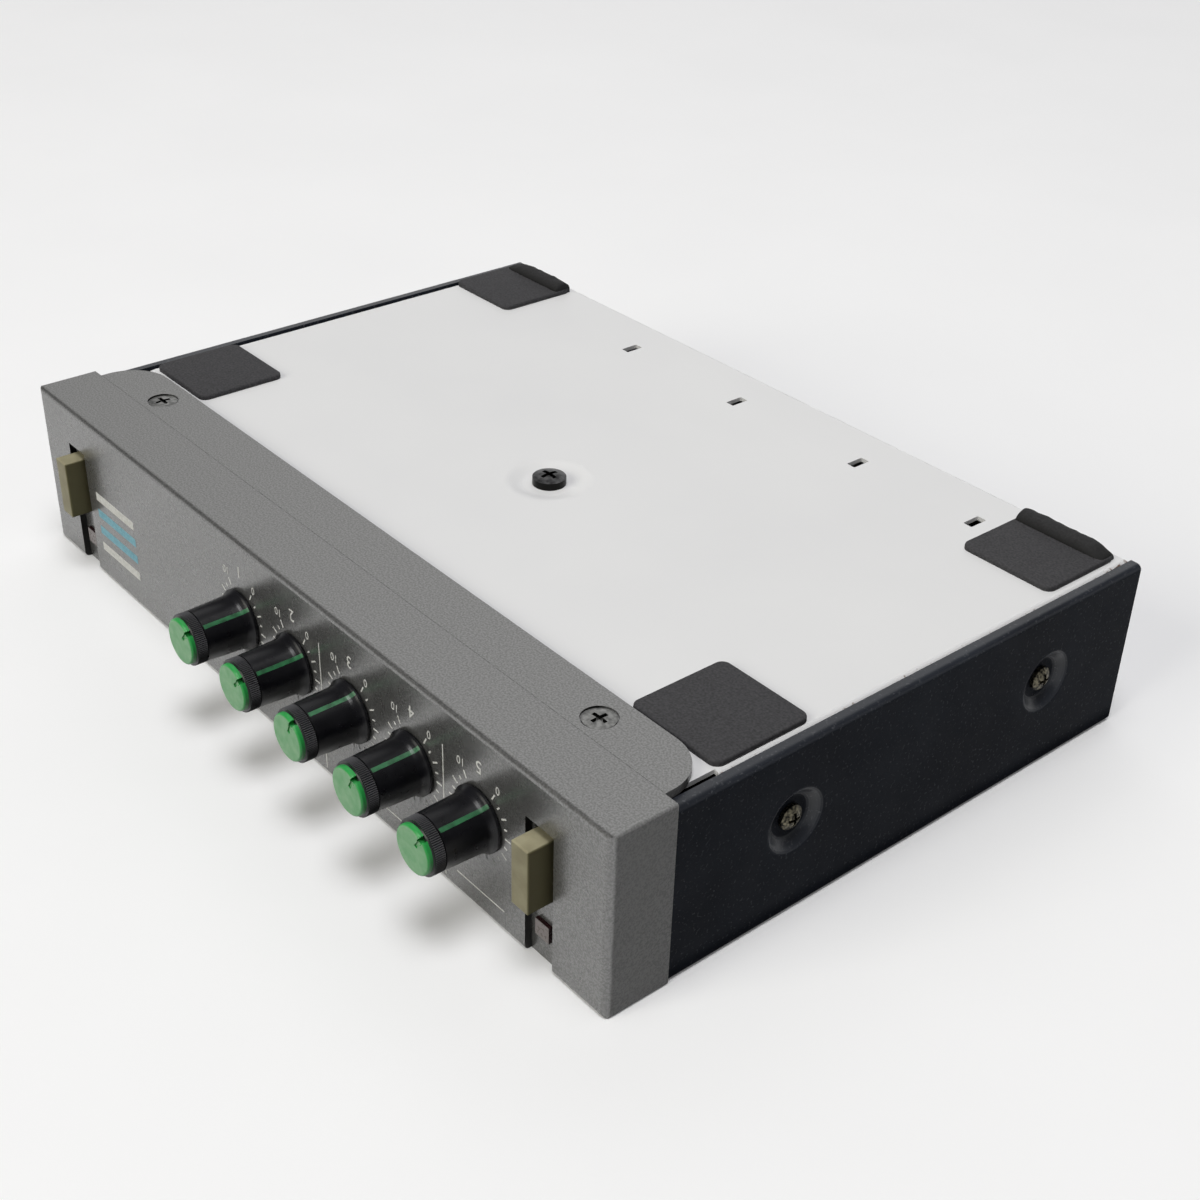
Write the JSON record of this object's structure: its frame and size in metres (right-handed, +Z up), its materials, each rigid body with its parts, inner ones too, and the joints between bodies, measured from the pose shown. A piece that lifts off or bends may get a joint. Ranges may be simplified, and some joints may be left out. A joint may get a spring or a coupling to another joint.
{
  "type": "half-rack effects unit",
  "caption": "Low wide effects unit lying on its black cover, feet up, with rotary controls and push buttons on a grey front and plug sockets at the rear.",
  "frame": {"origin": "middle of the bounding box at the cover's flat face, on which the unit lies in the picture", "axes": "+X along the front, to the right as one faces it with the feet up; +Y from the front to the rear sockets; +Z up, from the cover to the feet. A half turn about Y stands it on its feet"},
  "size_m": [0.218, 0.1656, 0.044],
  "materials": {
    "bezel_paint": "satin grey paint on a plastic moulding",
    "plate_paint": "matt pale grey paint on steel sheet",
    "cover_paint": "satin black paint on steel sheet",
    "foot_rubber": "matt foamed rubber sheet",
    "knob_plastic": "satin black moulding",
    "cap_plastic": "satin green moulding",
    "pointer_plastic": "satin green inlay",
    "button_plastic": "satin khaki moulding",
    "lens_plastic": "clear dark red moulding",
    "black_screw": "black oxide steel",
    "dull_screw": "yellow-plated steel, dulled",
    "plated_steel": "bright plating",
    "bush_brass": "turned",
    "board_resin": "varnished laminate",
    "black_resin": "matt moulding",
    "switch_plastic": "matt moulding",
    "can_sleeve": "shrunk sleeve",
    "sink_metal": "extruded",
    "cable_vinyl": "ribbed vinyl",
    "lamp_plastic": "clear red moulding"
  },
  "bodies": {
    "housing": {"chassis": "plate_paint", "rear_panel": "plate_paint", "top_cover": "cover_paint", "front_bezel": "bezel_paint", "front_feet": "foot_rubber", "rear_feet": "foot_rubber", "main_board": "board_resin", "control_board": "board_resin", "board_posts": "plated_steel", "pot_cases": "plated_steel", "pot_bushes": "bush_brass", "pot_nuts": "plated_steel", "power_switch": "switch_plastic", "effect_switch": "switch_plastic", "power_lens": "lens_plastic", "effect_lens": "lens_plastic", "indicator_leds": "lamp_plastic", "input_jack": "black_resin", "output_a_jack": "black_resin", "output_b_jack": "black_resin", "remote_jack": "black_resin", "jack_washers": "plated_steel", "jack_nuts": "plated_steel", "power_inlet": "black_resin", "inlet_pin": "plated_steel", "level_switch": "plated_steel", "side_screws": "dull_screw", "bezel_screws": "black_screw", "centre_screw": "black_screw", "board_screws": "plated_steel", "circuit_chips": "black_resin", "capacitors": "can_sleeve", "regulator": "black_resin", "heat_sink": "sink_metal", "ribbon_cable": "cable_vinyl"},
    "control_1": {"knob_1": "knob_plastic", "cap_1": "cap_plastic", "line_1": "pointer_plastic", "shaft_1": "plated_steel"},
    "control_2": {"knob_2": "knob_plastic", "cap_2": "cap_plastic", "line_2": "pointer_plastic", "shaft_2": "plated_steel"},
    "control_3": {"knob_3": "knob_plastic", "cap_3": "cap_plastic", "line_3": "pointer_plastic", "shaft_3": "plated_steel"},
    "control_4": {"knob_4": "knob_plastic", "cap_4": "cap_plastic", "line_4": "pointer_plastic", "shaft_4": "plated_steel"},
    "control_5": {"knob_5": "knob_plastic", "cap_5": "cap_plastic", "line_5": "pointer_plastic", "shaft_5": "plated_steel"},
    "power_push": {"power_button": "button_plastic", "power_plunger": "switch_plastic"},
    "effect_push": {"effect_button": "button_plastic", "effect_plunger": "switch_plastic"},
    "level_slide": {"level_slider": "black_resin"}
  },
  "joints": [
    {"name": "control_1_turn", "type": "hinge", "parent": "housing", "child": "control_1", "pos_m": [-0.0136, -0.0677, 0.0228], "axis": [0, 1, 0], "range_deg": [-18, 282]},
    {"name": "control_2_turn", "type": "hinge", "parent": "housing", "child": "control_2", "pos_m": [0.0078, -0.0677, 0.0228], "axis": [0, 1, 0], "range_deg": [-20, 280]},
    {"name": "control_3_turn", "type": "hinge", "parent": "housing", "child": "control_3", "pos_m": [0.0292, -0.0677, 0.0228], "axis": [0, 1, 0], "range_deg": [0, 300]},
    {"name": "control_4_turn", "type": "hinge", "parent": "housing", "child": "control_4", "pos_m": [0.0506, -0.0677, 0.0228], "axis": [0, 1, 0], "range_deg": [-6, 294]},
    {"name": "control_5_turn", "type": "hinge", "parent": "housing", "child": "control_5", "pos_m": [0.072, -0.0677, 0.0228], "axis": [0, 1, 0], "range_deg": [-10, 290]},
    {"name": "power_press", "type": "slide", "parent": "housing", "child": "power_push", "axis": [0, 1, 0], "range_m": [0, 0.003], "stiffness_N_per_m": 350, "springref_m": -0.002},
    {"name": "effect_press", "type": "slide", "parent": "housing", "child": "effect_push", "axis": [0, 1, 0], "range_m": [0, 0.003], "stiffness_N_per_m": 350, "springref_m": -0.002},
    {"name": "level_shift", "type": "slide", "parent": "housing", "child": "level_slide", "axis": [1, 0, 0], "range_m": [0, 0.003]}
  ]
}
